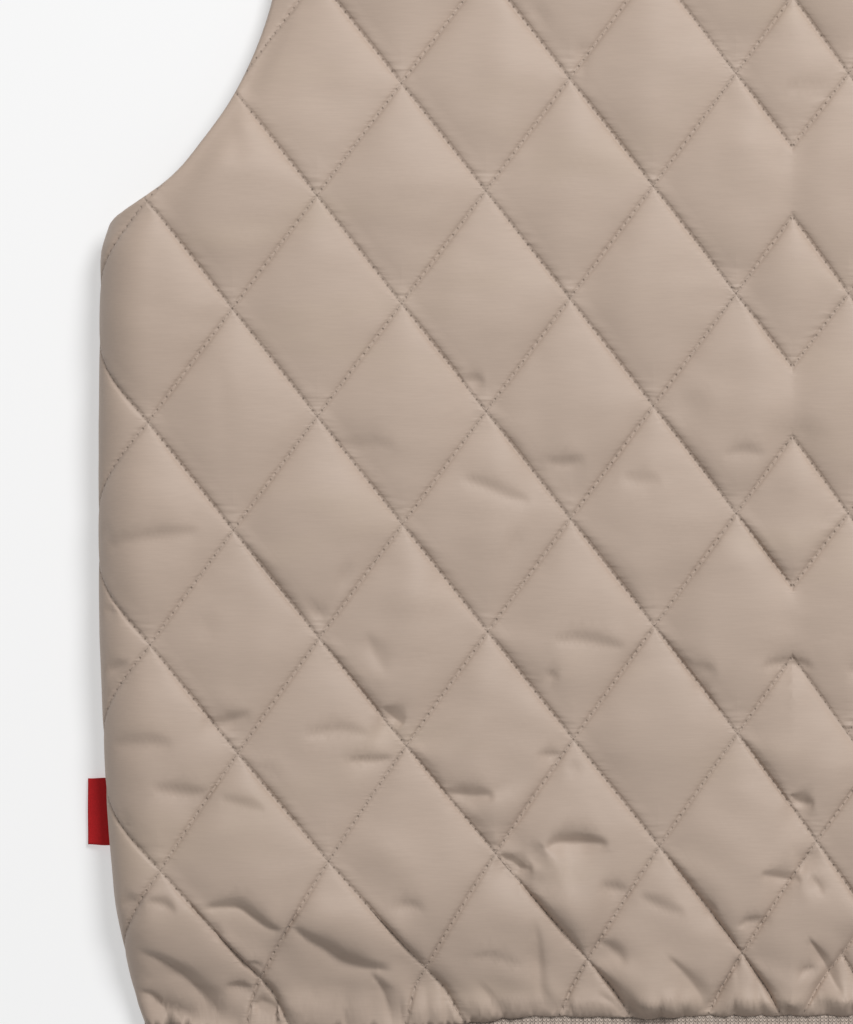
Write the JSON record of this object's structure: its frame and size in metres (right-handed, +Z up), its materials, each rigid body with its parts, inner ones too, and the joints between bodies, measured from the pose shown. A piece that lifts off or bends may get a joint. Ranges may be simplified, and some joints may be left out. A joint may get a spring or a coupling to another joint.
{
  "type": "quilted vest",
  "caption": "Sleeveless padded vest quilted in diamonds, laid flat with its back up, with a gathered hem on a ribbed band and a small side label.",
  "frame": {"origin": "on the surface the vest rests on, on its centre line, 270 mm above the hem seam", "axes": "+Y towards the neck, +X to the right seen from above (the wearer's right), +Z up out of the back"},
  "size_m": [0.5469, 0.6423, 0.0296],
  "materials": {
    "quilted_fabric": "smooth woven beige shell with a soft sheen, padded and quilted",
    "rib_knit": "matte grey-beige rib knit",
    "woven_label": "red woven tape"
  },
  "bodies": {
    "root": {"back": "quilted_fabric", "front_left": "quilted_fabric", "front_right": "quilted_fabric", "hem_band": "rib_knit", "label": "woven_label"}
  },
  "joints": []
}
